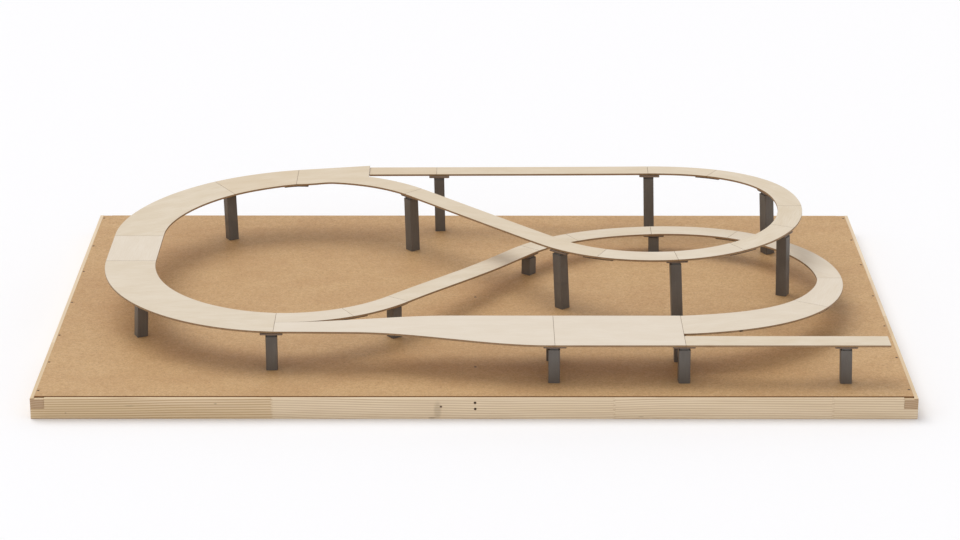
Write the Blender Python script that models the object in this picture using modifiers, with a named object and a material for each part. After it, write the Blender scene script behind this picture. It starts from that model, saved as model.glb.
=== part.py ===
"""Base of a table-top model railway, in metres, +Z up.

A softwood frame holds a hardboard panel, which stands a little proud of it. On the panel
stand square posts that carry a plywood trackbed: a double-track half loop on the left, a
figure of eight on the right whose upper line crosses over its lower line, a platform with
three track places along the front, and a short siding. Each length of trackbed, each post
and each joint plate is its own object.

The origin is under the middle of the frame. X runs along the front, Y from front to back.
"""
import math

import bmesh
import bpy
from mathutils import Matrix

# Frame and panel
BOARD_WIDTH = 2.100
BOARD_DEPTH = 1.360
FRAME_HEIGHT = 0.052
RAIL_THICKNESS = 0.0325
RIM_WIDTH = 0.0095
PANEL_THICKNESS = 0.0040
PANEL_PROUD = 0.0024
EDGE_ROUNDING = 0.0006
GAP = 0.0003

# Trackbed
PLY = 0.005
TRACK_WIDTH = 0.064
DOUBLE_WIDTH = 2 * TRACK_WIDTH
SECTION_LENGTH = 0.016
NEAREST_STEP = 0.002
SPLICE_LENGTH = 0.076
SPLICE_WIDTH = 0.058
SPLICE_THICKNESS = 0.003

# Posts
POST_SIDE = 0.028
POST_ROUNDING = 0.002
ROUNDING_STEPS = 2
NECK_SIDE = 0.022
NECK_HEIGHT = 0.0055
HEAD_LENGTH = 0.055
HEAD_WIDTH = 0.046
HEAD_THICKNESS = 0.003
GROOVE_HEIGHT = 0.0008
GROOVE_DEPTH = 0.0005

# Plan: circle centres as (x, y), measured from the middle of the frame
LEFT_LOOP_X = -0.485
LEFT_LOOP_FRONT_Y = -0.049
LEFT_LOOP_BACK_Y = 0.154
INNER_RADIUS = 0.360
OUTER_RADIUS = 0.424
MIDDLE_RADIUS = 0.392
BRANCH_CENTRE = (-0.426, LEFT_LOOP_BACK_Y)
UPPER_CENTRE = (0.472, 0.219)
UPPER_RADIUS = 0.359
LOWER_CENTRE = (0.478, -0.052)
LOWER_RADIUS = 0.431
JUNCTION_X = -0.288
BRANCH_END = 43.5
PLATFORM_INNER_RADIUS = 0.340
WIDENING_START = 0.12
PLATFORM_LEFT = 0.192
PLATFORM_RIGHT = 0.504
SIDING_END = 0.993
PLATFORM_FRONT_Y = -0.592
PLATFORM_BACK_Y = -0.3905
SIDING_WIDTH = 0.062

# Height of the trackbed's top face above the frame
FRONT_HEIGHT = 0.101
SEAM_HEIGHT = 0.1025
BACK_SEAM_HEIGHT = 0.1562
JUNCTION_HEIGHT = 0.1685
BRANCH_HEIGHT = 0.1625
PANEL_TOP = FRAME_HEIGHT + PANEL_PROUD

# Posts under the double track, the upper line, the lower line, the platform and the siding.
# Each is: foot (x, y), turn in degrees, lean to the right per height, height of the joint
# between its two blocks if it has one, and how far its head sticks out past the trackbed.
DOUBLE_POSTS = [
    (-0.8315, -0.2684, 24.0, 0.045, 0.0, 0.0),
    (-0.4897, -0.4923, 2.0, -0.003, 0.0, 0.0045),
    (-0.6628, 0.4741, 27.8, -0.031, 0.050, 0.0),
]
UPPER_POSTS = [
    (-0.0934, 0.5497, 1.2, -0.0197, 0.0, 0.0095),
    (0.4837, 0.5530, -2.8, -0.029, 0.0, 0.0095),
    (0.7933, 0.3588, 30.2, -0.051, 0.0, 0.0),
    (0.8000, 0.0308, 63.2, -0.021, 0.0, 0.0),
    (0.5137, -0.1560, 3.4, -0.0517, 0.0, 0.0),
    (0.2257, -0.0663, 40.3, -0.0516, 0.068, 0.0045),
    (-0.1659, 0.3834, 37.3, -0.030, 0.0, 0.0),
]
LOWER_POSTS = [
    (-0.1991, -0.2745, 38.0, 0.0, 0.0, 0.0),
    (0.1441, 0.1917, 50.9, 0.008, 0.0, 0.0),
    (0.4858, 0.3710, -2.0, -0.0218, 0.0, 0.0),
]
PLATFORM_POSTS = [
    (0.1912, -0.5752, -2.0, -0.0072, 0.0, 0.0),
    (0.1899, -0.4310, 0.0, -0.008, 0.0, 0.0),
    (0.5020, -0.5766, 2.5, -0.0106, 0.0, 0.0),
    (0.5010, -0.4380, 0.0, -0.011, 0.0, 0.0),
]
SIDING_POSTS = [
    (0.8895, -0.5782, -2.0, -0.0317, 0.0, 0.001),
]

# Colours, as sRGB hex, and roughness
SOFTWOOD = ("#cbb08d", 0.62)
HARDBOARD = ("#c9a67e", 0.55)
BIRCH_PLY = ("#e1d5c2", 0.60)
POST_PAINT = ("#58524b", 0.55)
SPLICE_PAINT = ("#4a433b", 0.60)


def clear_scene():
    for item in list(bpy.data.objects):
        bpy.data.objects.remove(item, do_unlink=True)


def new_collection(name):
    collection = bpy.data.collections.new(name)
    bpy.context.scene.collection.children.link(collection)
    return collection


def linear(channel):
    """One sRGB channel from 0 to 1 as a linear value."""
    if channel <= 0.04045:
        return channel / 12.92
    return ((channel + 0.055) / 1.055) ** 2.4


def finish(item, look):
    """Give an object a material of its own."""
    colour, roughness = look
    channels = [int(colour[i:i + 2], 16) / 255 for i in (1, 3, 5)]
    material = bpy.data.materials.new(item.name + "_finish")
    material.use_nodes = True
    shader = material.node_tree.nodes["Principled BSDF"]
    shader.inputs["Base Color"].default_value = [linear(c) for c in channels] + [1.0]
    shader.inputs["Roughness"].default_value = roughness
    shader.inputs["Metallic"].default_value = 0.0
    item.data.materials.append(material)


def add_object(name, shape, collection):
    """Turn a bmesh into an object in a collection."""
    mesh = bpy.data.meshes.new(name)
    shape.to_mesh(mesh)
    shape.free()
    item = bpy.data.objects.new(name, mesh)
    collection.objects.link(item)
    return item


def box(name, low, high, collection):
    """Box between two corners, with its origin at its middle."""
    size = [b - a for a, b in zip(low, high)]
    shape = bmesh.new()
    bmesh.ops.create_cube(shape, size=1.0)
    bmesh.ops.scale(shape, vec=size, verts=shape.verts)
    item = add_object(name, shape, collection)
    item.location = [(a + b) / 2 for a, b in zip(low, high)]
    return item


def as_cutter(item):
    item.hide_render = True
    item.display_type = "WIRE"
    return item


def cut(item, cutter):
    boolean = item.modifiers.new("cut_" + cutter.name, "BOOLEAN")
    boolean.operation = "DIFFERENCE"
    boolean.object = cutter


def round_edges(item, width):
    bevel = item.modifiers.new("rounding", "BEVEL")
    bevel.width = width
    bevel.segments = 1
    bevel.limit_method = "ANGLE"


def ease(t):
    """Smooth step from 0 to 1."""
    t = min(max(t, 0.0), 1.0)
    return t * t * (3 - 2 * t)


def lerp(a, b, t):
    return a + (b - a) * t


def around(centre, radius, degrees):
    """Point on a circle."""
    angle = math.radians(degrees)
    return centre[0] + radius * math.cos(angle), centre[1] + radius * math.sin(angle)


def blend(knots, distance):
    """Height at a distance, on a smooth curve through (distance, height) knots.

    The slope at a knot is the harmonic mean of its neighbours', so nothing overshoots.
    """
    rises = [(end[1] - start[1]) / (end[0] - start[0]) for start, end in zip(knots, knots[1:])]
    slopes = [rises[0]]
    slopes += [2 * a * b / (a + b) if a * b > 0 else 0.0 for a, b in zip(rises, rises[1:])]
    slopes.append(rises[-1])
    i = 0
    while i < len(rises) - 1 and distance > knots[i + 1][0]:
        i += 1
    start, low = knots[i]
    end, high = knots[i + 1]
    span = end - start
    t = min(max((distance - start) / span, 0.0), 1.0)
    value = lerp(low, high, ease(t))
    value += slopes[i] * span * t * (1 - t) ** 2
    value -= slopes[i + 1] * span * t**2 * (1 - t)
    return value


class Route:
    """Centreline of straights and arcs, with a smooth height along its length."""

    def __init__(self, x, y, heading, knots):
        self.position = (x, y)
        self.heading = math.radians(heading)
        self.knots = knots
        self.moves = []
        self.length = 0.0

    def straight(self, length):
        self._add(length, 0.0)

    def turn(self, radius, degrees):
        """Arc, to the left for positive degrees."""
        angle = math.radians(degrees)
        self._add(abs(angle) * radius, math.copysign(1 / radius, angle))

    def _add(self, length, curvature):
        self.moves.append((self.length, self.position, self.heading, curvature))
        self.position, self.heading = self._advance(self.moves[-1], length)
        self.length += length

    @staticmethod
    def _advance(move, length):
        _, (x, y), heading, curvature = move
        if curvature == 0.0:
            return (x + length * math.cos(heading), y + length * math.sin(heading)), heading
        turned = heading + curvature * length
        x += (math.sin(turned) - math.sin(heading)) / curvature
        y -= (math.cos(turned) - math.cos(heading)) / curvature
        return (x, y), turned

    def mark(self, index, degrees=0.0, metres=0.0):
        """Distance where a numbered move has turned by some degrees or gone some metres."""
        start, _, _, curvature = self.moves[index]
        if curvature:
            metres += math.radians(degrees) / abs(curvature)
        return start + metres

    def heading_after(self, index):
        """Heading at the end of a numbered move, in radians."""
        return self.moves[index + 1][2]

    def at(self, distance, offset=0.0):
        """Point at a distance along the route, set off to the left, and the heading there."""
        move = [m for m in self.moves if m[0] <= max(distance, 0.0)][-1]
        (x, y), heading = self._advance(move, distance - move[0])
        x -= offset * math.sin(heading)
        y += offset * math.cos(heading)
        return (x, y, FRAME_HEIGHT + blend(self.knots, distance)), heading

    def beside(self, x, y):
        """Distance along the route of the point nearest to a plan point, and how far left it is."""
        count = round(self.length / NEAREST_STEP)
        steps = [self.length * i / count for i in range(count + 1)]
        distance = min(steps, key=lambda step: math.dist((x, y), self.at(step)[0][:2]))
        (near_x, near_y, _), heading = self.at(distance)
        return distance, (y - near_y) * math.cos(heading) - (x - near_x) * math.sin(heading)

    def edges(self, start, end, width, offset=0.0, sink=0.0):
        """Left and right edge points of a strip along part of the route."""
        count = max(1, round((end - start) / SECTION_LENGTH))
        left = []
        right = []
        for i in range(count + 1):
            distance = lerp(start, end, i / count)
            for side, edge in ((width / 2, left), (-width / 2, right)):
                (x, y, z), _ = self.at(distance, offset + side)
                edge.append((x, y, z - sink))
        return left, right


def crossing_line(start, start_radius, end, end_radius):
    """Line that touches two circles on opposite sides: base angle, lean from it, length."""
    reach = math.hypot(end[0] - start[0], end[1] - start[1])
    base = math.atan2(end[1] - start[1], end[0] - start[0])
    lean = math.asin((start_radius + end_radius) / reach)
    return math.degrees(base), math.degrees(lean), reach * math.cos(lean)


def outer_route():
    """Middle of the double track: from the front seam round the left to the back seam."""
    knots = [(0.0, SEAM_HEIGHT), (0.440, 0.1155), (0.620, 0.1225), (0.900, 0.1255)]
    knots += [(1.305, 0.1466), (1.435, BACK_SEAM_HEIGHT)]
    route = Route(LEFT_LOOP_X, LEFT_LOOP_FRONT_Y - MIDDLE_RADIUS, 180, knots)
    route.turn(MIDDLE_RADIUS, -90)
    route.straight(LEFT_LOOP_BACK_Y - LEFT_LOOP_FRONT_Y)
    route.turn(MIDDLE_RADIUS, -90)
    return route


def upper_route():
    """Back straight, round the right end, and down the diagonal to the back junction."""
    knots = [(0.0, 0.1635), (0.760, 0.1670), (1.217, 0.1840), (1.521, 0.1765)]
    knots += [(1.977, 0.1660), (2.281, 0.1610), (2.751, BRANCH_HEIGHT)]
    base, lean, length = crossing_line(BRANCH_CENTRE, INNER_RADIUS, UPPER_CENTRE, UPPER_RADIUS)
    fall = lean - base
    route = Route(JUNCTION_X, UPPER_CENTRE[1] + UPPER_RADIUS, 0, knots)
    route.straight(UPPER_CENTRE[0] - JUNCTION_X)
    route.turn(UPPER_RADIUS, -180 - fall)
    route.straight(length)
    route.turn(INNER_RADIUS, BRANCH_END - 90 + fall)
    return route


def lower_route():
    """Inner track from the front seam, under the upper diagonal and round to the platform."""
    knots = [(0.0, SEAM_HEIGHT), (0.267, 0.0982), (0.800, 0.0660), (1.200, 0.0575)]
    knots += [(1.600, 0.0690), (2.130, 0.0810), (2.600, FRONT_HEIGHT), (2.700, FRONT_HEIGHT)]
    start = (LEFT_LOOP_X, LEFT_LOOP_FRONT_Y)
    base, lean, length = crossing_line(start, INNER_RADIUS, LOWER_CENTRE, LOWER_RADIUS)
    climb = lean + base
    route = Route(LEFT_LOOP_X, LEFT_LOOP_FRONT_Y - INNER_RADIUS, 0, knots)
    route.turn(INNER_RADIUS, climb)
    route.straight(length)
    route.turn(LOWER_RADIUS, platform_seam(LOWER_RADIUS) - 90 - climb)
    return route


def platform_seam(radius):
    """Angle at which a circle round the lower loop's centre meets the platform's right end."""
    return math.degrees(math.asin((PLATFORM_RIGHT - LOWER_CENTRE[0]) / radius)) - 90


def strip(name, edges, thickness, look, collection):
    """Closed strip of sheet, its top face lofted between two edges with equal point counts."""
    left, right = edges
    last = len(left) - 1
    shape = bmesh.new()
    bmesh.ops.create_grid(shape, x_segments=last, y_segments=1, size=1.0)
    for vertex in shape.verts:
        edge = left if vertex.co.y > 0 else right
        vertex.co = edge[round((vertex.co.x + 1) / 2 * last)]
    grown = bmesh.ops.extrude_face_region(shape, geom=shape.faces[:])
    lower = [part for part in grown["geom"] if isinstance(part, bmesh.types.BMVert)]
    bmesh.ops.translate(shape, vec=(0, 0, -thickness), verts=lower)
    bmesh.ops.recalc_face_normals(shape, faces=shape.faces)
    item = add_object(name, shape, collection)
    item.data.shade_smooth()
    item.data.set_sharp_from_angle(angle=math.radians(30))
    finish(item, look)


def track_lengths(route, width, seams, names, collection):
    """Lengths of trackbed in a row along a route, with a gap at each seam."""
    for name, start, end in zip(names, seams, seams[1:]):
        edges = route.edges(start + GAP / 2, end - GAP / 2, width)
        strip(name, edges, PLY, BIRCH_PLY, collection)


def back_turnout(collection):
    """Double trackbed at the back: its outer track ends square, its inner track turns away."""
    start_x = LEFT_LOOP_X + GAP / 2
    end_x = JUNCTION_X - GAP / 2
    far_y = LEFT_LOOP_BACK_Y + OUTER_RADIUS + TRACK_WIDTH / 2
    wide = INNER_RADIUS + TRACK_WIDTH / 2
    tight = INNER_RADIUS - TRACK_WIDTH / 2
    corner = math.degrees(math.acos((end_x - BRANCH_CENTRE[0]) / wide))
    stop = BRANCH_END + math.degrees(GAP / INNER_RADIUS)
    straight_share = 0.3
    left = []
    right = []
    sections = 14
    for i in range(sections + 1):
        t = i / sections
        left.append((lerp(start_x, end_x, t), far_y, lerp(BACK_SEAM_HEIGHT, JUNCTION_HEIGHT, t)))
        if t < straight_share:
            near = (lerp(start_x, BRANCH_CENTRE[0], t / straight_share), LEFT_LOOP_BACK_Y + tight)
        else:
            turned = (t - straight_share) / (1 - straight_share)
            near = around(BRANCH_CENTRE, tight, lerp(90, corner + 3, turned))
        right.append((*near, lerp(BACK_SEAM_HEIGHT, BRANCH_HEIGHT, ease(t * 1.6))))
    for i in range(sections + 1):
        t = i / sections
        height = lerp((JUNCTION_HEIGHT + BRANCH_HEIGHT) / 2, BRANCH_HEIGHT, t)
        left.append((*around(BRANCH_CENTRE, wide, lerp(corner, stop, t)), height))
        right.append((*around(BRANCH_CENTRE, tight, lerp(corner - 1, stop, t)), BRANCH_HEIGHT))
    raised = [[(x, y, FRAME_HEIGHT + z) for x, y, z in edge] for edge in (left, right)]
    strip("back_turnout", raised, PLY, BIRCH_PLY, collection)


def widening_curve(name, route, start, ends, collection):
    """Length of the lower loop that grows wider on its inner side towards the platform.

    It runs clockwise from a start angle to an end angle for its outer and its inner edge.
    """
    seam = platform_seam(PLATFORM_INNER_RADIUS)
    narrow = LOWER_RADIUS - TRACK_WIDTH / 2
    gap = math.degrees(GAP / 2 / LOWER_RADIUS)
    count = round(math.radians(start - ends[0]) * LOWER_RADIUS / SECTION_LENGTH)
    outer = []
    inner = []
    for i in range(count + 1):
        outer_angle, inner_angle = [lerp(start - gap, end + gap, i / count) for end in ends]
        remaining = LOWER_RADIUS * math.radians(outer_angle - platform_seam(LOWER_RADIUS))
        height = FRAME_HEIGHT + blend(route.knots, route.length - remaining)
        share = inner_angle / seam
        share = share ** 2 * (1 + WIDENING_START) / (share + WIDENING_START)
        radius = lerp(PLATFORM_INNER_RADIUS, narrow, (1 - share) ** 2)
        outer.append((*around(LOWER_CENTRE, LOWER_RADIUS + TRACK_WIDTH / 2, outer_angle), height))
        inner.append((*around(LOWER_CENTRE, radius, inner_angle), height))
    strip(name, (outer, inner), PLY, BIRCH_PLY, collection)


def front_flare(collection):
    """Trackbed that widens from one track at the front seam to the three of the platform."""
    start_x = LEFT_LOOP_X + GAP / 2
    end_x = PLATFORM_LEFT - GAP / 2
    split_y = LEFT_LOOP_FRONT_Y - MIDDLE_RADIUS - GAP
    front_y = split_y - TRACK_WIDTH
    left = []
    right = []
    sections = 44
    for i in range(sections + 1):
        x = lerp(start_x, end_x, i / sections)
        z = FRAME_HEIGHT + lerp(SEAM_HEIGHT, FRONT_HEIGHT, ease((x - start_x) / 0.300))
        left.append((x, lerp(split_y, PLATFORM_BACK_Y, ease((x - start_x) / 0.425)), z))
        right.append((x, lerp(front_y, PLATFORM_FRONT_Y, ease((x + 0.290) / 0.470)), z))
    strip("front_flare", (left, right), PLY, BIRCH_PLY, collection)


def level_length(name, low_x, high_x, low_y, high_y, collection):
    """Level, rectangular length of trackbed at the height of the front."""
    top = FRAME_HEIGHT + FRONT_HEIGHT
    low = (low_x + GAP / 2, low_y, top - PLY)
    item = box(name, low, (high_x - GAP / 2, high_y, top), collection)
    finish(item, BIRCH_PLY)


def trackbed(outer, upper, lower, collection):
    seams = [0.0, outer.mark(1), outer.mark(1, metres=0.190), outer.mark(2, 60), outer.length]
    names = ["left_front_curve", "left_straight", "left_back_curve_1", "left_back_curve_2"]
    track_lengths(outer, DOUBLE_WIDTH, seams, names, collection)
    back_turnout(collection)

    seams = [0.0, upper.mark(0, metres=0.185)]
    seams += [upper.mark(1, degrees) for degrees in (1, 30, 90, 115, 147, 174, 204.5)]
    names = ["back_straight_left", "back_straight_right"]
    names += [f"upper_curve_{number}" for number in range(1, 7)] + ["upper_diagonal"]
    track_lengths(upper, TRACK_WIDTH, seams + [upper.length], names, collection)

    climb = math.degrees(lower.heading_after(0))
    seams = [0.0, lower.mark(0, 29), lower.mark(1), lower.mark(2, 5)]
    seams += [lower.mark(2, climb + degrees) for degrees in (-30, 0, 30, 90)]
    names = ["front_inner_branch", "lower_bend", "lower_diagonal"]
    names += [f"lower_curve_{number}" for number in range(1, 5)]
    track_lengths(lower, TRACK_WIDTH, seams, names, collection)
    widening_curve("lower_curve_5", lower, 0, (-30, -30), collection)
    seam_angles = (platform_seam(LOWER_RADIUS + TRACK_WIDTH / 2), platform_seam(PLATFORM_INNER_RADIUS))
    widening_curve("front_right_curve", lower, -30, seam_angles, collection)

    front_flare(collection)
    level_length("station_platform", PLATFORM_LEFT, PLATFORM_RIGHT,
                 PLATFORM_FRONT_Y, PLATFORM_BACK_Y, collection)
    level_length("siding", PLATFORM_RIGHT, SIDING_END,
                 PLATFORM_FRONT_Y, PLATFORM_FRONT_Y + SIDING_WIDTH, collection)


def splices(outer, upper, lower, collection):
    """Thin plates under seams that no post carries."""
    climb = math.degrees(lower.heading_after(0))
    spots = [(outer, outer.length, -TRACK_WIDTH / 2)]
    spots += [(upper, upper.mark(1, degrees), 0.0) for degrees in (30, 90, 147, 204.5)]
    spots += [(lower, lower.mark(0, 29), 0.0)]
    spots += [(lower, lower.mark(2, climb + degrees), 0.0) for degrees in (30, 90, 120)]
    half = SPLICE_LENGTH / 2
    for number, (route, middle, offset) in enumerate(spots, start=1):
        sink = PLY + GAP
        edges = route.edges(middle - half, middle + half, SPLICE_WIDTH, offset, sink)
        strip(f"splice_{number}", edges, SPLICE_THICKNESS, SPLICE_PAINT, collection)


def section(x, y, z, turn, length, width):
    """Matrix that takes a unit square to one level of a post."""
    place = Matrix.Translation((x, y, z)) @ Matrix.Rotation(turn, 4, "Z")
    return place @ Matrix.Diagonal((length, width, 1, 1))


def post(name, spot, route, width, collection):
    """Square post with a neck and a flat head, grown level by level from its rounded footprint.

    Its head follows the trackbed and stays under it. A post with a joint is two blocks, one on
    the other, with a fine groove between them.
    """
    x, y, turn, lean, joint, reach = spot
    turn = math.radians(turn)
    foot = PANEL_TOP + GAP
    distance, offset = route.beside(x + lean * FRONT_HEIGHT, y)
    limit = (width - HEAD_WIDTH) / 2 + reach
    (head_x, head_y, _), heading = route.at(distance, min(max(offset, -limit), limit))
    ends = [distance - HEAD_LENGTH / 2, distance, distance + HEAD_LENGTH / 2]
    top = FRAME_HEIGHT + min(blend(route.knots, end) for end in ends) - PLY - GAP - foot
    shoulder = top - HEAD_THICKNESS - NECK_HEIGHT
    plate = top - HEAD_THICKNESS
    heights = [(0.0, POST_SIDE)]
    if joint:
        inner = POST_SIDE - 2 * GROOVE_DEPTH
        heights += [(joint, POST_SIDE), (joint, inner)]
        heights += [(joint + GROOVE_HEIGHT, inner), (joint + GROOVE_HEIGHT, POST_SIDE)]
    heights += [(shoulder, POST_SIDE), (shoulder, NECK_SIDE), (plate, NECK_SIDE)]
    levels = [section(lean * z, 0.0, z, turn, side, side) for z, side in heights]
    # Each corner of the head grows from the nearest corner of the neck
    quarters = round((heading - turn) / (math.pi / 2))
    heading -= quarters * math.pi / 2
    head = (HEAD_WIDTH, HEAD_LENGTH) if quarters % 2 else (HEAD_LENGTH, HEAD_WIDTH)
    for z in (plate, top):
        levels.append(section(head_x - x, head_y - y, z, heading, *head))

    shape = bmesh.new()
    bmesh.ops.create_grid(shape, x_segments=1, y_segments=1, size=0.5)
    bmesh.ops.bevel(shape, geom=shape.verts[:], offset=POST_ROUNDING / POST_SIDE,
                    segments=ROUNDING_STEPS, profile=0.5, affect="VERTICES")
    bmesh.ops.transform(shape, matrix=levels[0], verts=shape.verts)
    footprint = shape.faces[:]
    face = footprint
    for before, level in zip(levels, levels[1:]):
        grown = bmesh.ops.extrude_face_region(shape, geom=face)
        if face is not footprint:
            bmesh.ops.delete(shape, geom=face, context="FACES_ONLY")
        face = [part for part in grown["geom"] if isinstance(part, bmesh.types.BMFace)]
        step = level @ before.inverted()
        bmesh.ops.transform(shape, matrix=step, verts=face[0].verts[:])
    bmesh.ops.recalc_face_normals(shape, faces=shape.faces)
    item = add_object(name, shape, collection)
    item.location = (x, y, foot)
    item.data.shade_smooth()
    item.data.set_sharp_from_angle(angle=math.radians(60))
    finish(item, POST_PAINT)


def posts(outer, upper, lower, collection):
    level = [(0.0, FRONT_HEIGHT), (1.0, FRONT_HEIGHT)]
    platform = Route(PLATFORM_LEFT, (PLATFORM_FRONT_Y + PLATFORM_BACK_Y) / 2, 0, level)
    platform.straight(PLATFORM_RIGHT - PLATFORM_LEFT)
    siding = Route(PLATFORM_RIGHT, PLATFORM_FRONT_Y + SIDING_WIDTH / 2, 0, level)
    siding.straight(SIDING_END - PLATFORM_RIGHT)
    groups = [
        (DOUBLE_POSTS, outer, DOUBLE_WIDTH),
        (UPPER_POSTS, upper, TRACK_WIDTH),
        (LOWER_POSTS, lower, TRACK_WIDTH),
        (PLATFORM_POSTS, platform, PLATFORM_BACK_Y - PLATFORM_FRONT_Y),
        (SIDING_POSTS, siding, SIDING_WIDTH),
    ]
    number = 0
    for spots, route, width in groups:
        for spot in spots:
            number += 1
            post(f"post_{number:02d}", spot, route, width, collection)


def frame(collection, cutters):
    """Four rails halved into each other at the corners, a cross member and the panel."""
    half_x = BOARD_WIDTH / 2
    half_y = BOARD_DEPTH / 2
    inner_x = half_x - RAIL_THICKNESS
    inner_y = half_y - RAIL_THICKNESS
    rebate = PANEL_TOP - PANEL_THICKNESS - GAP
    middle = FRAME_HEIGHT / 2
    spare = 0.010
    tall = FRAME_HEIGHT + spare

    long_rails = []
    for name, low_y, high_y in (("front", -half_y, -inner_y), ("back", inner_y, half_y)):
        low = (-half_x, low_y, 0)
        long_rails.append(box(f"frame_rail_{name}", low, (half_x, high_y, FRAME_HEIGHT), collection))
    side_rails = []
    for name, low_x, high_x in (("left", -half_x, -inner_x), ("right", inner_x, half_x)):
        low = (low_x, -half_y, 0)
        side_rails.append(box(f"frame_rail_{name}", low, (high_x, half_y, FRAME_HEIGHT), collection))

    long_rebate = box("long_rail_rebate", (-half_x - spare, RIM_WIDTH - half_y, rebate),
                      (half_x + spare, half_y - RIM_WIDTH, tall), cutters)
    side_rebate = box("side_rail_rebate", (RIM_WIDTH - half_x, -half_y - spare, rebate),
                      (half_x - RIM_WIDTH, half_y + spare, tall), cutters)
    long_cutters = [long_rebate]
    side_cutters = [side_rebate]
    for side in (-1, 1):
        near = side * (inner_x - GAP)
        far = side * (half_x + spare)
        low = (min(near, far), -half_y - spare, middle - GAP / 2)
        high = (max(near, far), half_y + spare, tall)
        long_cutters.append(box(f"halving_{side + 2}_top", low, high, cutters))
        near = side * (inner_y - GAP)
        far = side * (half_y + spare)
        low = (-half_x - spare, min(near, far), -spare)
        high = (half_x + spare, max(near, far), middle + GAP / 2)
        side_cutters.append(box(f"halving_{side + 2}_bottom", low, high, cutters))
    for rails, tools in ((long_rails, long_cutters), (side_rails, side_cutters)):
        for rail in rails:
            for tool in tools:
                cut(rail, as_cutter(tool))
            round_edges(rail, EDGE_ROUNDING)
            finish(rail, SOFTWOOD)

    member = box("frame_cross_member", (-RAIL_THICKNESS / 2, -inner_y + GAP, 0),
                 (RAIL_THICKNESS / 2, inner_y - GAP, rebate), collection)
    finish(member, SOFTWOOD)
    edge_x = half_x - RIM_WIDTH - GAP
    edge_y = half_y - RIM_WIDTH - GAP
    panel = box("top_panel", (-edge_x, -edge_y, rebate + GAP), (edge_x, edge_y, PANEL_TOP), collection)
    finish(panel, HARDBOARD)


def main():
    clear_scene()
    parts = new_collection("model_railway_base")
    cutters = new_collection("cutters")
    frame(parts, cutters)
    outer = outer_route()
    upper = upper_route()
    lower = lower_route()
    trackbed(outer, upper, lower, parts)
    splices(outer, upper, lower, parts)
    posts(outer, upper, lower, parts)


main()
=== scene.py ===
import math

import bmesh
import bpy
from mathutils import Matrix, Vector
from mathutils.kdtree import KDTree


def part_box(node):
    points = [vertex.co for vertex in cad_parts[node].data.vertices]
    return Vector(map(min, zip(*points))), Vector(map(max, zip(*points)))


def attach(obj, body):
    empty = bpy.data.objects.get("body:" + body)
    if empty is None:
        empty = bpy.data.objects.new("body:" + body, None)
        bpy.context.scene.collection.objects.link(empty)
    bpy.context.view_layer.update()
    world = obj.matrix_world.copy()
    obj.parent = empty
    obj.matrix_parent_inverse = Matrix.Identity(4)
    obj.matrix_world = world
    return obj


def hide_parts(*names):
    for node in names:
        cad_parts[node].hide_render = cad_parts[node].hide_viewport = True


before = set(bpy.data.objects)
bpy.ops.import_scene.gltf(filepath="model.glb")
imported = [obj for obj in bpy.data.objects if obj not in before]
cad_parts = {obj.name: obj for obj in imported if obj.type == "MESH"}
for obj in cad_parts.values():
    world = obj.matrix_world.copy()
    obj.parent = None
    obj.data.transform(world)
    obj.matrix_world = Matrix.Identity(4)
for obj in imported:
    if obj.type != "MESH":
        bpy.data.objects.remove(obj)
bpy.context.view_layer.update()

MM = 0.001
QUARTER_TURN = math.pi / 2

# Boards and posts
PLY = 5 * MM
EDGE_WEAR = 0.4 * MM
HEAD_PLATE = 3.0 * MM
HEAD_EDGE = 0.3 * MM
NEARLY = 0.1 * MM
JOIN_WITHIN = 0.005 * MM
SHARP_EDGE = 1.0  # radians
BOARD_SMOOTH = 25  # degrees
GRAIN_SHIFT = (3.7, 1.9)

# Screws and their holes
HEAD_RADIUS = 3.0 * MM
SHANK_RADIUS = 1.1 * MM
HEAD_DEPTH = 2.4 * MM
HEAD_SIDES = 24
HEAD_SINK = 0.15 * MM
HOLE_CLEARANCE = 0.25 * MM
HOLE_ABOVE = 0.4 * MM
HOLE_DEEPER = 1.0 * MM
SLOT = (3.4 * MM, 0.75 * MM, 2.6 * MM)
SLOT_FLOOR = (0.35, 0.6)
SCREW_SMOOTH = 30  # degrees
PANEL_SCREW_TURN = 0.83  # radians from each screw to the next
RAIL_SCREW_TURN = 0.57

# Growth rings of the spruce: their width, how far they wander, and where the pith lies
RING_WIDTH = 5.8 * MM
RING_DRIFT = 34 * MM
PITH_DEPTH = 0.028
PITH_BELOW = 0.095
CROSS_FACE = 0.03
NEXT_TIMBER = (0.73, 0.009, 0.0113)

# Light and camera, with angles in degrees unless noted
SKY = 0.68
SUN_TILT = (-22, -22, 0)
SUN_ANGLE = 42
SUN_STRENGTH = 1.25
FLOOR_SIZE = 30.0
FLOOR_GAP = 0.2 * MM
LENS = 106.69
SENSOR = 36.0
FAR_CLIP = 60.0
CAMERA_PLACE = (-0.0047, -6.9062, 2.5973)
CAMERA_TILT = 70.354
CAMERA_PAN = -0.00283  # radians, as is the roll
CAMERA_ROLL = 0.00143

# Settings of the nodes that mix two colours, and of those that fade smoothly between two values
COLOURS = {"data_type": "RGBA", "output": 2}
SMOOTH = {"interpolation_type": "SMOOTHSTEP"}

frame_low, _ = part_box("frame_rail_front")
_, frame_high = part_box("frame_rail_back")
_, panel_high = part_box("top_panel")

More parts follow.
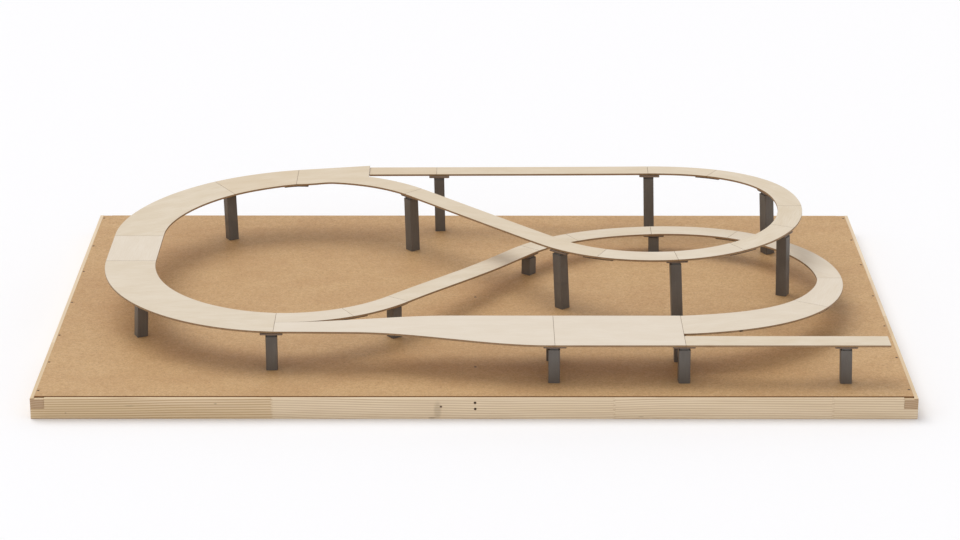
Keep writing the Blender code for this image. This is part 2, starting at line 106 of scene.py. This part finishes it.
# Grain direction in degrees and tone of each length of trackbed
TRACK_LENGTHS = {
    "left_front_curve": (4, 0.35), "left_straight": (88, 0.80), "left_back_curve_1": (28, 0.10),
    "left_back_curve_2": (12, -0.55), "back_turnout": (3, -0.40), "back_straight_left": (0, -0.75),
    "back_straight_right": (0, -0.45), "upper_curve_1": (-14, -0.30), "upper_curve_2": (-52, -0.05),
    "upper_curve_3": (76, 0.15), "upper_curve_4": (48, 0.25), "upper_curve_5": (14, 0.45),
    "upper_curve_6": (-10, 0.40), "upper_diagonal": (-20, -0.35), "front_inner_branch": (14, 0.60),
    "lower_bend": (24, 0.45), "lower_diagonal": (26, 0.10), "lower_curve_1": (24, 0.0),
    "lower_curve_2": (12, 0.20), "lower_curve_3": (-10, 0.35), "lower_curve_4": (-52, 0.55),
    "lower_curve_5": (74, 0.70), "front_right_curve": (20, 0.60), "front_flare": (2, 0.90),
    "station_platform": (0, 0.95), "siding": (0, -0.10),
}

# Dark knots in the trackbed's edge, as (x, y) and how far through the ply each starts
EDGE_KNOTS = [(0.6445, -0.4840, 0.15), (0.8749, -0.2905, 0.55)]

# Screws in the panel, as (x, y), and in the outer faces of the long rails, as (x, z)
PANEL_SCREWS = [(-1.0358, y) for y in (-0.636, -0.451, -0.268, -0.032, 0.203, 0.411, 0.648)]
PANEL_SCREWS += [(1.0342, y) for y in (-0.628, -0.418, -0.201, 0.019, 0.260, 0.463, 0.648)]
PANEL_SCREWS += [(0.0027, 0.009), (0.0027, -0.482)]
RAIL_SCREWS = [(0.0016, 0.0410), (0.0022, 0.0256)]

# Where the timbers of a rail meet in finger joints, along its grain
RAIL_JOINTS = {
    "front": (-0.476, 0.335, 0.853), "back": (-0.70, -0.12, 0.55),
    "left": (-0.31, 0.24), "right": (-0.12, 0.41), "cross": (0.18,),
}

# Knots and marks in the long rails, as (x, z, length, height, strength)
FRONT_KNOTS = [
    (-0.079, 0.0315, 4.2 * MM, 3.6 * MM, 1.0), (-0.087, 0.0220, 12 * MM, 30 * MM, 0.22),
    (-0.100, 0.003, 12 * MM, 2.5 * MM, 0.45), (-0.815, 0.0330, 16 * MM, 1.6 * MM, 0.35),
    (-0.612, 0.0385, 5 * MM, 1.4 * MM, 0.60), (-0.967, 0.0150, 3 * MM, 1.6 * MM, 0.50),
    (0.395, 0.0060, 9 * MM, 2.0 * MM, 0.25),
]
BACK_KNOTS = [(0.310, 0.020, 4 * MM, 4 * MM, 0.8)]


# Materials


def colour(text):
    """sRGB hex as linear red, green, blue and alpha."""
    channels = [int(text[i:i + 2], 16) / 255 for i in (1, 3, 5)]
    return [c / 12.92 if c <= 0.04045 else ((c + 0.055) / 1.055) ** 2.4 for c in channels] + [1.0]


def add(tree, kind, inputs=(), output=0, **settings):
    """Add a node with its settings and links, and give one of its outputs.

    Inputs are given in order, or by name or number. Each is a value, a colour as hex text, or
    another node's output to link.
    """
    node = tree.nodes.new("ShaderNode" + kind)
    for name, value in settings.items():
        setattr(node, name, value)
    for key, value in inputs.items() if isinstance(inputs, dict) else enumerate(inputs):
        if isinstance(value, bpy.types.NodeSocket):
            tree.links.new(value, node.inputs[key])
        else:
            node.inputs[key].default_value = colour(value) if isinstance(value, str) else value
    return node.outputs[output]


def new_material(name):
    """A material, its node tree and its shader."""
    material = bpy.data.materials.new(name)
    material.use_nodes = True
    tree = material.node_tree
    return material, tree, tree.nodes["Principled BSDF"]


def speckles(tree, place, patterns):
    """Noise from 0 to 1 for each pattern: its scale per metre, detail and stretch on each axis."""
    made = []
    for scale, detail, stretch in patterns:
        shaped = add(tree, "Mapping", {"Vector": place, "Scale": stretch})
        made.append(add(tree, "TexNoise", {"Vector": shaped, "Scale": scale, "Detail": detail}))
    return made


def tinted(tree, body, tints):
    """A colour with tints over it, each as (value, start, end, low, high, colour).

    The tint's strength goes smoothly from low to high as the value goes from start to end.
    """
    for value, start, end, low, high, tint in tints:
        share = add(tree, "MapRange", (value, start, end, low, high), **SMOOTH)
        body = add(tree, "Mix", {0: share, 6: body, 7: tint}, **COLOURS)
    return body


def finish_shader(tree, shader, body, relief, bump, roughness, ior, specular):
    """Give a shader its colour, relief, roughness and gloss.

    The bump is (strength, height), and roughness is (value, start, end, low, high).
    """
    strength, height = bump
    raised = {"Strength": strength, "Distance": height, "Height": relief}
    tree.links.new(body, shader.inputs["Base Color"])
    tree.links.new(add(tree, "Bump", raised), shader.inputs["Normal"])
    tree.links.new(add(tree, "MapRange", roughness, **SMOOTH), shader.inputs["Roughness"])
    shader.inputs["IOR"].default_value = ior
    shader.inputs["Specular IOR Level"].default_value = specular


def planed_spruce(name, turn, face, joints, knots=()):
    """Planed, untreated spruce: pale straw with soft brown growth rings and fine fibre.

    The grain runs along X, or along Y after a quarter turn, and face is how far out the rail's
    outer face is. Each timber in a rail begins at a finger joint and has its own rings. A knot
    is (x, z, length, height, strength).
    """
    material, tree, shader = new_material(name)
    place = add(tree, "TexCoord", output="Object")
    local = add(tree, "Mapping", {"Vector": place, "Rotation": (0, 0, turn)})
    axes = add(tree, "SeparateXYZ", (local,)).node.outputs

    # Fingers of 1.9 mm, 7.6 mm long
    finger = add(tree, "Math", (axes["Z"], 1.9 * MM), operation="PINGPONG")
    along = add(tree, "Math", (finger, 4.0, axes["X"]), operation="MULTIPLY_ADD")
    timber = 0.0
    joint_line = 0.0
    for start in joints:
        past = add(tree, "Math", (along, start), operation="GREATER_THAN")
        timber = add(tree, "Math", (timber, past), operation="ADD")
        near = add(tree, "Math", (along, start, 0.5 * MM), operation="COMPARE")
        joint_line = add(tree, "Math", (joint_line, near), operation="MAXIMUM")
    shift = add(tree, "CombineXYZ", [
        add(tree, "Math", (timber, step), operation="MULTIPLY") for step in NEXT_TIMBER
    ])
    wood = add(tree, "VectorMath", (local, shift), operation="ADD")

    # Pith inside and well below the rail, so that rings cross its outer face as long lines
    drift = add(tree, "Mapping", {"Vector": wood, "Scale": (1.0, 3.0, 3.0)})
    drift = add(tree, "TexNoise", {"Vector": drift, "Scale": 1.1, "Detail": 2.0}, "Color")
    drift = add(tree, "VectorMath", (drift, (-0.5, -0.5, -0.5)), operation="ADD")
    drift = add(tree, "VectorMath", {0: drift, "Scale": RING_DRIFT}, operation="SCALE")
    bent = add(tree, "VectorMath", (wood, drift), operation="ADD")
    pith = (0, -face + math.copysign(PITH_DEPTH, face), PITH_BELOW)
    rings = add(tree, "Mapping", {"Vector": bent, "Location": pith, "Scale": (0.012, 1, 1)})
    distance = add(tree, "VectorMath", (rings,), "Value", operation="LENGTH")

    # Each ring is pale and then darker late in its year
    year = add(tree, "Math", (distance, RING_WIDTH), operation="DIVIDE")
    year = add(tree, "Math", (year,), operation="FRACT")
    darkens = add(tree, "MapRange", (year, 0.35, 0.88), **SMOOTH)
    ends = add(tree, "MapRange", (year, 0.90, 1.0, 1.0, 0.0), **SMOOTH)
    late = add(tree, "Math", (darkens, ends), operation="MULTIPLY")

    fibre, tone = speckles(tree, wood, [
        (60.0, 3.0, (0.12, 12, 12)),  # fibre 1.4 mm wide and 140 mm long
        (1.0, 2.0, (2.0, 30, 30)),  # bands 33 mm wide and 0.5 m long
    ])
    body = tinted(tree, "#ead3b0", [(tone, 0.3, 0.7, 0.0, 1.0, "#e0c8a1")])
    first = add(tree, "Math", (timber, 1.0), operation="MINIMUM")
    paler = add(tree, "Math", (first, 0.55), operation="MULTIPLY")
    body = add(tree, "Mix", {0: paler, 6: body, 7: "#f3e2c7"}, **COLOURS)

    # A rim is too narrow to show whole rings, so they are faint there
    normal = add(tree, "NewGeometry", output="Normal")
    facing = add(tree, "SeparateXYZ", (normal,)).node.outputs
    weaker = add(tree, "Math", (paler, 0.55), operation="MULTIPLY")
    strength = add(tree, "Math", (0.85, weaker), operation="SUBTRACT")
    on_rim = add(tree, "MapRange", (facing["Z"], 0.5, 0.9, 1.0, 0.25), **SMOOTH)
    strength = add(tree, "Math", (strength, on_rim), operation="MULTIPLY")
    ring = add(tree, "Math", (late, strength), operation="MULTIPLY")
    body = add(tree, "Mix", {0: ring, 6: body, 7: "#b68f64"}, **COLOURS)
    body = tinted(tree, body, [(fibre, 0.42, 0.75, 0.0, 0.30, "#b39270")])
    glue = add(tree, "Math", (joint_line, 0.45), operation="MULTIPLY")
    body = add(tree, "Mix", {0: glue, 6: body, 7: "#a3835f"}, **COLOURS)

    for knot_x, knot_z, length, height, depth in knots:
        reach = []
        for axis, middle, size in (("X", knot_x, length), ("Z", knot_z, height)):
            off = add(tree, "Math", (axes[axis], middle), operation="SUBTRACT")
            reach.append(add(tree, "Math", (off, size), operation="DIVIDE"))
        reach = add(tree, "CombineXYZ", reach)
        reach = add(tree, "VectorMath", (reach,), "Value", operation="LENGTH")
        body = tinted(tree, body, [(reach, 0.35, 1.0, depth, 0.0, "#4d3421")])

    # Darker end grain
    end = add(tree, "Math", (facing["Y" if turn else "X"],), operation="ABSOLUTE")
    end = add(tree, "MapRange", (end, 0.6, 0.8), **SMOOTH)
    end = add(tree, "Math", (end, 0.55), operation="MULTIPLY")
    body = add(tree, "Mix", {0: end, 6: body, 7: "#9d7a5e"}, **COLOURS)

    raised_rings = add(tree, "Math", (late, 0.6), operation="MULTIPLY")
    raised_fibre = add(tree, "Math", (fibre, 0.8), operation="MULTIPLY")
    relief = add(tree, "Math", (raised_rings, raised_fibre), operation="ADD")
    finish_shader(tree, shader, body, relief, (0.35, 0.12 * MM),
                  (fibre, 0.2, 0.8, 0.55, 0.68), 1.45, 0.35)
    return material


def pressed_hardboard():
    """Oiled hardboard: warm brown felted fibre, smooth above, a pressed mesh below."""
    material, tree, shader = new_material("pressed_hardboard")
    place = add(tree, "TexCoord", output="Object")
    # Single fibres are finer than can show, so the felt is drawn about 4 mm coarse
    felt, clumps, clouds, flecks = speckles(tree, place, [
        (250.0, 4.0, (1, 1, 1)),
        (80.0, 3.0, (1.0, 1.3, 1.0)),  # clumps of 12 mm
        (7.0, 3.0, (1.0, 1.7, 1.0)),  # clouds of 140 mm
        (210.0, 1.0, (1.0, 1.4, 1.0)),  # flecks of 5 mm
    ])
    body = tinted(tree, "#d0ab7b", [
        (clouds, 0.3, 0.7, 0.0, 1.0, "#c8a172"),
        (clumps, 0.38, 0.70, 0.0, 0.24, "#b68f5f"),
        (felt, 0.38, 0.66, 0.0, 0.40, "#9f774b"),
        (flecks, 0.66, 0.78, 0.0, 0.50, "#805a3c"),
        (flecks, 0.34, 0.24, 0.0, 0.40, "#e6cba4"),
    ])
    normal = add(tree, "NewGeometry", output="Normal")
    upward = add(tree, "SeparateXYZ", (normal,), "Z")

    # Wire mesh of the press, 1.8 mm apart, drawn at 3.6 mm so that it shows
    axes = add(tree, "SeparateXYZ", (place,)).node.outputs
    weave = []
    for axis in ("X", "Y"):
        angle = add(tree, "Math", (axes[axis], math.tau / (3.6 * MM)), operation="MULTIPLY")
        weave.append(add(tree, "Math", (angle,), operation="SINE"))
    mesh = add(tree, "Math", weave, operation="MULTIPLY")
    below = add(tree, "Math", (upward, -0.5), operation="LESS_THAN")
    rough_back = tinted(tree, "#7d5a3b", [(mesh, -0.6, 0.6, 0.0, 1.0, "#a17c55")])
    body = add(tree, "Mix", {0: below, 6: body, 7: rough_back}, **COLOURS)
    upright = add(tree, "Math", (upward,), operation="ABSOLUTE")
    sawn = tinted(tree, "#7c5733", [(felt, 0.35, 0.65, 0.0, 1.0, "#8e6840")])
    body = tinted(tree, body, [(upright, 0.5, 0.7, 1.0, 0.0, sawn)])

    raised_felt = add(tree, "Math", (felt, 0.5), operation="MULTIPLY")
    raised_mesh = add(tree, "Math", (below, mesh), operation="MULTIPLY")
    raised_mesh = add(tree, "Math", (raised_mesh, 2.5), operation="MULTIPLY")
    relief = add(tree, "Math", (raised_felt, raised_mesh), operation="ADD")
    finish_shader(tree, shader, body, relief, (0.30, 0.10 * MM),
                  (clumps, 0.3, 0.7, 0.50, 0.62), 1.47, 0.35)
    return material


def sanded_birch_ply():
    """Sanded birch plywood: creamy face with silky streaks, edge of light and brown plies.

    The uv map is the face's grain in metres, "depth" goes from 0 on the upper face to 1 on the
    lower, and "tone" is each length's own shade.
    """
    material, tree, shader = new_material("sanded_birch_ply")
    grain = add(tree, "UVMap", uv_map="grain")
    place = add(tree, "TexCoord", output="Object")
    depth = add(tree, "Attribute", output="Fac", attribute_name="depth")
    tone = add(tree, "Attribute", output="Fac", attribute_name="tone")
    silk, pores, flame, tubes = speckles(tree, grain, [
        (40.0, 4.0, (0.5, 9, 1)),  # streaks 2.8 mm wide and 50 mm long
        (170.0, 1.0, (0.45, 7, 1)),  # pores 0.8 mm wide and 13 mm long
        (9.0, 3.0, (1.0, 3.0, 1)),  # flame 37 mm wide and 110 mm long
        (650.0, 1.0, (1, 1, 1)),  # cut ends of 1.5 mm, coarser than real so that they show
    ])
    body = tinted(tree, "#e3d6c1", [
        (flame, 0.3, 0.7, 0.0, 1.0, "#dccdb5"),
        (silk, 0.35, 0.72, 0.0, 0.38, "#d2bf9f"),
        (pores, 0.62, 0.78, 0.0, 0.30, "#b79a74"),
        (tone, 0.0, -1.0, 0.0, 0.45, "#d3b994"),
        (tone, 0.0, 1.0, 0.0, 0.45, "#e9dfd2"),
    ])

    # Five plies of 1 mm: 0, 2 and 4 show long grain, 1 and 3 show darker end grain
    stack = add(tree, "Math", (depth, 4.999), operation="MULTIPLY")
    layer = add(tree, "Math", (stack,), operation="FLOOR")
    cross = add(tree, "Math", (layer, 2.0), operation="MODULO")
    to_glue = add(tree, "Math", (stack, 0.5), operation="PINGPONG")
    long_ply = tinted(tree, "#c2a37c", [(silk, 0.3, 0.7, 0.0, 1.0, "#ad8c65")])
    end_ply = tinted(tree, "#7c5c3e", [(tubes, 0.35, 0.65, 0.0, 1.0, "#93704e")])
    edge = add(tree, "Mix", {0: cross, 6: long_ply, 7: end_ply}, **COLOURS)
    edge = tinted(tree, edge, [(to_glue, 0.0, 0.10, 0.8, 0.0, "#5a4029")])
    normal = add(tree, "NewGeometry", output="Normal")
    upward = add(tree, "SeparateXYZ", (normal,), "Z")
    upright = add(tree, "Math", (upward,), operation="ABSOLUTE")
    body = tinted(tree, body, [(upright, 0.45, 0.55, 1.0, 0.0, edge)])

    # Worn edges are darker from handling
    worn = add(tree, "Math", (upright, 0.70, 0.15), operation="COMPARE")
    worn = add(tree, "Math", (worn, 0.65), operation="MULTIPLY")
    body = add(tree, "Mix", {0: worn, 6: body, 7: "#6f543a"}, **COLOURS)
    for x, y, low in EDGE_KNOTS:
        away = add(tree, "VectorMath", (place, (x, y, 0)), operation="SUBTRACT")
        away = add(tree, "VectorMath", (away, (1, 1, 0)), operation="MULTIPLY")
        away = add(tree, "VectorMath", (away,), "Value", operation="LENGTH")
        near = add(tree, "MapRange", (away, 3.8 * MM, 5.0 * MM, 1.0, 0.0), **SMOOTH)
        level = add(tree, "MapRange", (depth, low, low + 0.1), **SMOOTH)
        mark = add(tree, "Math", (near, level), operation="MULTIPLY")
        flank = add(tree, "Math", (upright, 0.9), operation="LESS_THAN")
        mark = add(tree, "Math", (mark, flank), operation="MULTIPLY")
        body = add(tree, "Mix", {0: mark, 6: body, 7: "#2e2015"}, **COLOURS)

    raised_silk = add(tree, "Math", (silk, 0.8), operation="MULTIPLY")
    sunk_pores = add(tree, "Math", (pores, -0.6), operation="MULTIPLY")
    relief = add(tree, "Math", (raised_silk, sunk_pores), operation="ADD")
    finish_shader(tree, shader, body, relief, (0.25, 0.06 * MM),
                  (silk, 0.3, 0.7, 0.52, 0.64), 1.45, 0.35)
    return material


def painted_block(name, grey, dark, scuff):
    """Wooden block under thin matt paint: the grain shows as faint upright streaks.

    A "plate" of 1 marks the thin head plate, which is browner.
    """
    material, tree, shader = new_material(name)
    place = add(tree, "TexCoord", output="Object")
    plate = add(tree, "Attribute", output="Fac", attribute_name="plate")
    streaks, dust, patches = speckles(tree, place, [
        (220.0, 3.0, (3.5, 3.5, 0.10)),  # streaks 1.3 mm wide and 45 mm long
        (420.0, 2.0, (1, 1, 1)),  # dust of 2.4 mm, coarser than real so that it shows
        (24.0, 2.0, (1, 1, 0.5)),  # patches of 40 mm
    ])
    body = tinted(tree, grey, [
        (patches, 0.2, 0.8, 0.0, 0.7, dark),
        (streaks, 0.35, 0.70, 0.0, 0.45, dark),
    ])
    browner = add(tree, "Math", (plate, 0.75), operation="MULTIPLY")
    body = add(tree, "Mix", {0: browner, 6: body, 7: "#7d6450"}, **COLOURS)
    body = tinted(tree, body, [(dust, 0.66, 0.80, 0.0, 0.55, scuff)])
    raised_dust = add(tree, "Math", (dust, 0.5), operation="MULTIPLY")
    relief = add(tree, "Math", (streaks, raised_dust), operation="ADD")
    finish_shader(tree, shader, body, relief, (0.35, 0.10 * MM),
                  (patches, 0.3, 0.7, 0.42, 0.55), 1.48, 0.45)
    return material


def browned_steel():
    """Browned steel screw: dark, with a dull metal gleam and lighter wear of about 1 mm."""
    material, tree, shader = new_material("browned_steel")
    place = add(tree, "TexCoord", output="Object")
    (wear,) = speckles(tree, place, [(900.0, 2.0, (1, 1, 1))])
    body = tinted(tree, "#3b2e25", [(wear, 0.45, 0.65, 0.0, 1.0, "#5b493b")])
    rough = add(tree, "MapRange", (wear, 0.3, 0.7, 0.35, 0.55), **SMOOTH)
    tree.links.new(body, shader.inputs["Base Color"])
    tree.links.new(rough, shader.inputs["Roughness"])
    shader.inputs["Metallic"].default_value = 1.0
    return material


# Shapes


def new_object(name, shape):
    """Turn a bmesh into an object in the scene, with its place in its mesh."""
    mesh = bpy.data.meshes.new(name)
    shape.to_mesh(mesh)
    shape.free()
    item = bpy.data.objects.new(name, mesh)
    bpy.context.scene.collection.objects.link(item)
    return item


def copy_of(node):
    """A CAD node's mesh as a bmesh, with its loose triangles joined."""
    shape = bmesh.new()
    shape.from_mesh(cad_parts[node].data)
    bmesh.ops.remove_doubles(shape, verts=shape.verts, dist=JOIN_WITHIN)
    return shape


def fit_in(item, node):
    """Let a piece stand for a CAD node."""
    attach(item, "root")
    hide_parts(node)


def shade(item, degrees):
    """Smooth shading, but for edges sharper than an angle."""
    item.data.shade_smooth()
    item.data.set_sharp_from_angle(angle=math.radians(degrees))


def length_of_trackbed(node, turn, tone, ply):
    """Length of trackbed with lightly worn edges, and the attributes its plywood needs."""
    shape = copy_of(node)
    points = [vertex.co.copy() for vertex in shape.verts]
    corners = [edge for edge in shape.edges if edge.calc_face_angle(0) > SHARP_EDGE]
    bmesh.ops.bevel(shape, geom=corners, offset=EDGE_WEAR, segments=1, profile=0.5,
                    affect="EDGES", material=-1, clamp_overlap=True)
    bmesh.ops.recalc_face_normals(shape, faces=shape.faces)
    item = new_object(node + "_board", shape)
    mesh = item.data

    # A point's depth is measured from the upper of the two corners nearest to it in plan
    plan = KDTree(len(points))
    for i, point in enumerate(points):
        plan.insert((point.x, point.y, 0), i)
    plan.balance()
    depths = []
    for vertex in mesh.vertices:
        near = plan.find_n((vertex.co.x, vertex.co.y, 0), 2)
        top = max(points[index].z for _, index, _ in near)
        depths.append(min(max((top - vertex.co.z) / PLY, 0.0), 1.0))
    mesh.attributes.new("depth", "FLOAT", "POINT").data.foreach_set("value", depths)
    tones = [tone] * len(mesh.vertices)
    mesh.attributes.new("tone", "FLOAT", "POINT").data.foreach_set("value", tones)

    # Each length's grain has its own direction, and starts at its own place in the veneer
    grain = mesh.uv_layers.new(name="grain")
    turned = Matrix.Rotation(-math.radians(turn), 2)
    start = Vector([tone * step for step in GRAIN_SHIFT])
    for loop in mesh.loops:
        flat = turned @ mesh.vertices[loop.vertex_index].co.to_2d()
        grain.data[loop.index].uv = flat + start
    shade(item, BOARD_SMOOTH)
    mesh.materials.clear()
    mesh.materials.append(ply)
    fit_in(item, node)


def painted_post(node, paint):
    """Post with softened edges on its head plate, which the "plate" attribute marks."""
    shape = copy_of(node)
    plate_bottom = max(vertex.co.z for vertex in shape.verts) - HEAD_PLATE - NEARLY
    rim = [edge for edge in shape.edges if edge.calc_face_angle(0) > SHARP_EDGE
           and all(vertex.co.z > plate_bottom for vertex in edge.verts)]
    bmesh.ops.bevel(shape, geom=rim, offset=HEAD_EDGE, segments=1, profile=0.5,
                    affect="EDGES", material=-1, clamp_overlap=True)
    bmesh.ops.recalc_face_normals(shape, faces=shape.faces)
    item = new_object(node + "_painted", shape)
    marks = [float(vertex.co.z > plate_bottom) for vertex in item.data.vertices]
    item.data.attributes.new("plate", "FLOAT", "POINT").data.foreach_set("value", marks)
    item.data.materials.clear()
    item.data.materials.append(paint)
    item.data.shade_flat()
    fit_in(item, node)


def cone_at(shape, place, wide, narrow, depth):
    """Add a closed cone to a bmesh: wide end at a place, narrow end below it."""
    down = Matrix.Translation((0, 0, -depth / 2))
    bmesh.ops.create_cone(shape, cap_ends=True, segments=HEAD_SIDES, radius1=narrow,
                          radius2=wide, depth=depth, matrix=place @ down)


def subtract(item, cutter):
    """Cut one mesh from another for good, and discard the cutter."""
    boolean = item.modifiers.new("cut", "BOOLEAN")
    boolean.operation = "DIFFERENCE"
    boolean.solver = "EXACT"
    boolean.object = cutter
    view = bpy.context.evaluated_depsgraph_get()
    finished = bpy.data.meshes.new_from_object(item.evaluated_get(view))
    item.modifiers.clear()
    item.data = finished
    bpy.data.objects.remove(cutter)


def drilled(node, places, material):
    """A CAD node with a countersunk hole at each place, where there are any."""
    item = new_object(node + "_drilled", copy_of(node))
    holes = bmesh.new()
    for place in places:
        over = place @ Matrix.Translation((0, 0, HOLE_ABOVE))
        wide = HEAD_RADIUS + HOLE_CLEARANCE + HOLE_ABOVE
        cone_at(holes, over, wide, SHANK_RADIUS + HOLE_CLEARANCE, HEAD_DEPTH + HOLE_DEEPER)
    if places:
        subtract(item, new_object("hole_cutter", holes))
    else:
        holes.free()
    item.data.materials.clear()
    item.data.materials.append(material)
    item.data.shade_flat()
    fit_in(item, node)


def screw_master():
    """Countersunk head with a cross recess, its top at the origin."""
    shape = bmesh.new()
    cone_at(shape, Matrix.Identity(4), HEAD_RADIUS, SHANK_RADIUS, HEAD_DEPTH)
    head = new_object("screw_master", shape)
    # One slot at a time, because slots that cross in one cutter leave nothing
    for turn in (0, QUARTER_TURN):
        recess = bmesh.new()
        made = bmesh.ops.create_cube(recess, size=1.0)["verts"]
        bmesh.ops.scale(recess, vec=SLOT, verts=made)
        floor = [vertex for vertex in made if vertex.co.z < 0]
        bmesh.ops.scale(recess, vec=(*SLOT_FLOOR, 1), verts=floor)
        bmesh.ops.rotate(recess, matrix=Matrix.Rotation(turn, 3, "Z"), verts=made)
        subtract(head, new_object("recess_cutter", recess))
    return head


def screw(name, place, turn, master, steel):
    """A screw head at a place, its top a hair under the surface."""
    item = bpy.data.objects.new(name, master.data.copy())
    bpy.context.scene.collection.objects.link(item)
    sunk = Matrix.Translation((0, 0, -HEAD_SINK)) @ Matrix.Rotation(turn, 4, "Z")
    item.data.transform(place @ sunk)
    item.data.materials.clear()
    item.data.materials.append(steel)
    shade(item, SCREW_SMOOTH)
    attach(item, "root")


# Camera, lights and floor


def set_camera():
    """Long lens in front of the board, a little above it."""
    data = bpy.data.cameras.new("camera")
    data.lens = LENS
    data.sensor_width = SENSOR
    data.clip_end = FAR_CLIP
    camera = bpy.data.objects.new("camera", data)
    bpy.context.scene.collection.objects.link(camera)
    pan = Matrix.Rotation(CAMERA_PAN, 4, "Z")
    tilt = Matrix.Rotation(math.radians(CAMERA_TILT), 4, "X")
    roll = Matrix.Rotation(CAMERA_ROLL, 4, "Z")
    camera.matrix_world = Matrix.Translation(CAMERA_PLACE) @ pan @ tilt @ roll
    bpy.context.scene.camera = camera


def set_light():
    """Wide soft overhead light, the same everywhere on the floor."""
    data = bpy.data.lights.new("soft_light", "SUN")
    data.angle = math.radians(SUN_ANGLE)
    data.energy = SUN_STRENGTH
    lamp = bpy.data.objects.new("soft_light", data)
    bpy.context.scene.collection.objects.link(lamp)
    lamp.rotation_euler = [math.radians(part) for part in SUN_TILT]


def set_studio():
    """White room: a bright even sky all round, and a floor of white paper."""
    scene = bpy.context.scene
    scene.view_settings.view_transform = "Standard"
    world = bpy.data.worlds.new("studio")
    scene.world = world
    world.use_nodes = True
    sky = world.node_tree.nodes["Background"]
    sky.inputs["Color"].default_value = colour("#fffeff")
    sky.inputs["Strength"].default_value = SKY

    floor_shape = bmesh.new()
    bmesh.ops.create_grid(floor_shape, x_segments=1, y_segments=1, size=FLOOR_SIZE,
                          matrix=Matrix.Translation((0, 0, -FLOOR_GAP)))
    floor = new_object("floor", floor_shape)
    paper, _, shader = new_material("white_backdrop_paper")
    shader.inputs["Base Color"].default_value = colour("#fcfcfd")
    shader.inputs["Roughness"].default_value = 0.9
    floor.data.materials.append(paper)


def build_board(front_screws, back_screws, panel_screws):
    """Frame and panel, with the holes for their screws."""
    sides = [
        ("front", 0.0, frame_low.y, front_screws, FRONT_KNOTS),
        ("back", 0.0, frame_high.y, back_screws, BACK_KNOTS),
        ("left", -QUARTER_TURN, -frame_low.x, [], ()),
        ("right", -QUARTER_TURN, -frame_high.x, [], ()),
    ]
    for side, turn, face, screws, knots in sides:
        spruce = planed_spruce(f"planed_spruce_{side}", turn, face, RAIL_JOINTS[side], knots)
        drilled(f"frame_rail_{side}", screws, spruce)
    spruce = planed_spruce(
        "planed_spruce_cross", -QUARTER_TURN, CROSS_FACE, RAIL_JOINTS["cross"])
    drilled("frame_cross_member", [], spruce)
    drilled("top_panel", panel_screws, pressed_hardboard())


def build_screws(rail_screws, panel_screws):
    """Screw heads, each stopped at its own turn."""
    steel = browned_steel()
    master = screw_master()
    for i, place in enumerate(panel_screws, start=1):
        screw(f"panel_screw_{i:02d}", place, i * PANEL_SCREW_TURN, master, steel)
    for i, place in enumerate(rail_screws, start=1):
        screw(f"rail_screw_{i}", place, i * RAIL_SCREW_TURN, master, steel)
    bpy.data.objects.remove(master)


def build_supports():
    """Posts, and the splice plates, which keep their CAD meshes."""
    paint = painted_block("grey_painted_post", "#706b65", "#5b554f", "#8d8780")
    plate_paint = painted_block("brown_painted_plate", "#6a5646", "#574638", "#857260")
    for name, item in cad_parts.items():
        if name.startswith("post_"):
            painted_post(name, paint)
        elif name.startswith("splice_"):
            item.data.materials.clear()
            item.data.materials.append(plate_paint)


def build():
    """Trackbed, then the board under it, its screws and what carries the trackbed."""
    ply = sanded_birch_ply()
    for node, (turn, tone) in TRACK_LENGTHS.items():
        length_of_trackbed(node, turn, tone, ply)

    # A screw's place has its Z axis out of the surface; the back rail mirrors the front one
    out_front = Matrix.Rotation(QUARTER_TURN, 4, "X")
    out_back = Matrix.Rotation(-QUARTER_TURN, 4, "X")
    front = [Matrix.Translation((x, frame_low.y, z)) @ out_front for x, z in RAIL_SCREWS]
    back = [Matrix.Translation((-x, frame_high.y, z)) @ out_back for x, z in RAIL_SCREWS]
    panel = [Matrix.Translation((x, y, panel_high.z)) for x, y in PANEL_SCREWS]
    build_board(front, back, panel)
    build_screws(front + back, panel)
    build_supports()


build()
set_camera()
set_light()
set_studio()
